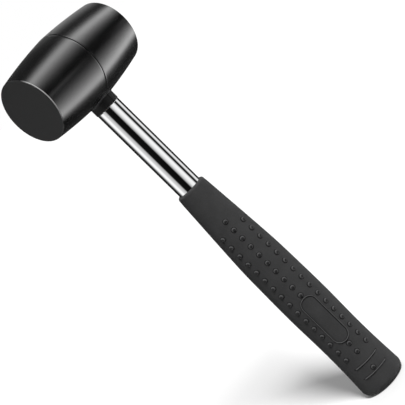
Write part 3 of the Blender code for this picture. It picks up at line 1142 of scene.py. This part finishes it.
# Long lights above and below the head, by angle up or down from the horizon on the -Y side.
# Towards -X they are mirrored to the +Y side.
UPPER_LIGHTS = (
    (0, 0.03), (12, 0.05), (20, 0.26), (28, 0.85), (38, 1.95), (47, 3.6), (56, 5.5), (62, 5.5),
    (67, 4.2), (72, 2.4), (78, 0.9), (85, 0.22), (95, 0.09), (180, 0.08),
)
LOWER_LIGHTS = (
    (0, 0.06), (10, 0.12), (20, 0.45), (30, 1.15), (38, 1.95), (47, 3.1), (57, 4.8), (66, 6.4),
    (74, 6.0), (80, 2.6), (86, 0.9), (93, 0.22), (110, 0.07), (180, 0.06),
)
# Extra light above the horizon on the +X side, by the same angle
RIM_LIGHTS = (
    (0, 0.0), (98, 0.0), (108, 0.1), (118, 0.3), (130, 0.52), (142, 0.55), (170, 0.4),
    (180, 0.38),
)

# Where one light gives way to the next, by parts of the direction's unit vector
UPPER_SIDE = (-0.02, 0.02)
NEAR_SIDE = (-0.35, -0.05)
RIM_SIDE = (0.55, 0.63)
RIM_HEIGHT = (0.0, 0.1)
SKY_HEIGHT = (-0.15, 0.25)
BEHIND = (0.3, 0.9)

# Lower and upper edge of the ring at eye level, each as elevations in degrees that it fades over
RING_FOOT = (-10.0, -8.5)
RING_TOP = (-1.2, -2.2)


def lobe_lights(tree, angle, upper_side):
    """Brightness of the long lights for an angle in radians, up or down from the horizon."""
    place = calculate(tree, "DIVIDE", angle, math.pi)
    upper = bright_steps(tree, place, UPPER_LIGHTS)
    lower = bright_steps(tree, place, LOWER_LIGHTS)
    return mix(tree, upper_side, lower, upper)


def build_studio_light(stage):
    """The studio as the world's colour.

    The background is plain white. Reflections see long soft lights above and below the head,
    a ring of cards at eye level, and near black between them. Soft fill comes from above and from
    behind the mallet, and a little from below.
    """
    world = bpy.data.worlds.new("studio")
    world.use_nodes = True
    world.cycles.sampling_method = "NONE"
    bpy.context.scene.world = world
    tree = world.node_tree
    tree.nodes.clear()
    direction = add(tree, "ShaderNodeTexCoord").outputs["Generated"]
    parts = add(tree, "ShaderNodeSeparateXYZ", {"Vector": direction}).outputs
    x, y, z = parts["X"], parts["Y"], parts["Z"]
    front = multiply(tree, y, -1.0)

    azimuth = calculate(tree, "ARCTAN2", x, front)
    from_camera = calculate(tree, "SUBTRACT", azimuth, stage.camera_azimuth)
    turns = calculate(tree, "ADD", calculate(tree, "DIVIDE", from_camera, math.tau), 0.5)
    cards = bright_steps(tree, calculate(tree, "FRACT", turns), EYE_LEVEL_LIGHTS)

    above = calculate(tree, "ABSOLUTE", z)
    upper_side = ramp_between(tree, z, *UPPER_SIDE)
    near_angle = calculate(tree, "ARCTAN2", above, front)
    far_angle = calculate(tree, "ARCTAN2", above, y)
    near_lobes = lobe_lights(tree, near_angle, upper_side)
    far_lobes = lobe_lights(tree, far_angle, upper_side)
    lobes = mix(tree, ramp_between(tree, x, *NEAR_SIDE), far_lobes, near_lobes)
    rim = bright_steps(tree, calculate(tree, "DIVIDE", near_angle, math.pi), RIM_LIGHTS)
    rim_side = multiply(tree, ramp_between(tree, x, *RIM_SIDE), ramp_between(tree, z, *RIM_HEIGHT))
    with_rim = calculate(tree, "ADD", lobes, multiply(tree, rim, rim_side))

    elevation = calculate(tree, "ARCSINE", z)
    at_eye_level = multiply(
        tree,
        ramp_between(tree, elevation, *map(math.radians, RING_FOOT)),
        ramp_between(tree, elevation, *map(math.radians, RING_TOP)),
    )
    reflected = mix(tree, at_eye_level, with_rim, cards)

    behind = calculate(
        tree,
        "SUBTRACT",
        multiply(tree, y, math.cos(stage.camera_azimuth)),
        multiply(tree, x, math.sin(stage.camera_azimuth)),
    )
    fill = calculate(
        tree,
        "ADD",
        ramp_between(tree, z, *SKY_HEIGHT, stage.ground_fill, stage.sky_fill),
        ramp_between(tree, behind, *BEHIND, 0.0, stage.back_fill),
    )
    ray = add(tree, "ShaderNodeLightPath").outputs
    lit = mix(tree, ray["Is Glossy Ray"], fill, reflected)
    seen = mix(tree, ray["Is Camera Ray"], lit, 1.0)
    white = (1.0, 1.0, 1.0, 1.0)
    background = add(tree, "ShaderNodeBackground", {"Color": white, "Strength": seen})
    output = add(tree, "ShaderNodeOutputWorld")
    tree.links.new(background.outputs["Background"], output.inputs["Surface"])


class MALLET_OT_stage(bpy.types.Operator):
    """Set up the pale floor, the soft studio light and the camera."""

    bl_idname = "mallet.stage"
    bl_label = "Set Stage"

    def execute(self, context):
        stage = context.scene.mallet_stage
        context.scene.view_settings.view_transform = "Standard"
        add_floor(stage)
        add_sun(stage)
        build_studio_light(stage)
        add_camera(stage)
        return {"FINISHED"}


# ---- panel and registration


class MALLET_PT_sidebar(bpy.types.Panel):
    """Sizes, finishes and steps of the mallet."""

    bl_idname = "MALLET_PT_sidebar"
    bl_label = "Rubber Mallet"
    bl_space_type = "VIEW_3D"
    bl_region_type = "UI"
    bl_category = "Mallet"

    def draw(self, context):
        for owner in PROPERTY_OWNERS:
            box = self.layout.box()
            box.label(text=owner.replace("_", " ").title())
            group = getattr(context.scene, owner)
            for name in group.__annotations__:
                box.prop(group, name)
        for operator in OPERATORS:
            self.layout.operator(operator.bl_idname)


PROPERTY_OWNERS = {
    "mallet_head": MalletHeadSizes,
    "mallet_tube": MalletTubeSizes,
    "mallet_grip": MalletGripSizes,
    "mallet_finishes": MalletFinishes,
    "mallet_stage": MalletStage,
}
OPERATORS = (
    MALLET_OT_head,
    MALLET_OT_cap,
    MALLET_OT_tube,
    MALLET_OT_grip,
    MALLET_OT_fixings,
    MALLET_OT_stage,
)
CLASSES = (*PROPERTY_OWNERS.values(), *OPERATORS, MALLET_PT_sidebar)


def register():
    for made in CLASSES:
        bpy.utils.register_class(made)
    for name, group in PROPERTY_OWNERS.items():
        setattr(bpy.types.Scene, name, PointerProperty(type=group))


def unregister():
    for name in PROPERTY_OWNERS:
        delattr(bpy.types.Scene, name)
    for made in reversed(CLASSES):
        bpy.utils.unregister_class(made)


def main():
    register()
    bpy.ops.mallet.head()
    bpy.ops.mallet.cap()
    bpy.ops.mallet.tube()
    bpy.ops.mallet.grip()
    bpy.ops.mallet.fixings()
    bpy.ops.mallet.stage()


if __name__ == "__main__":
    main()
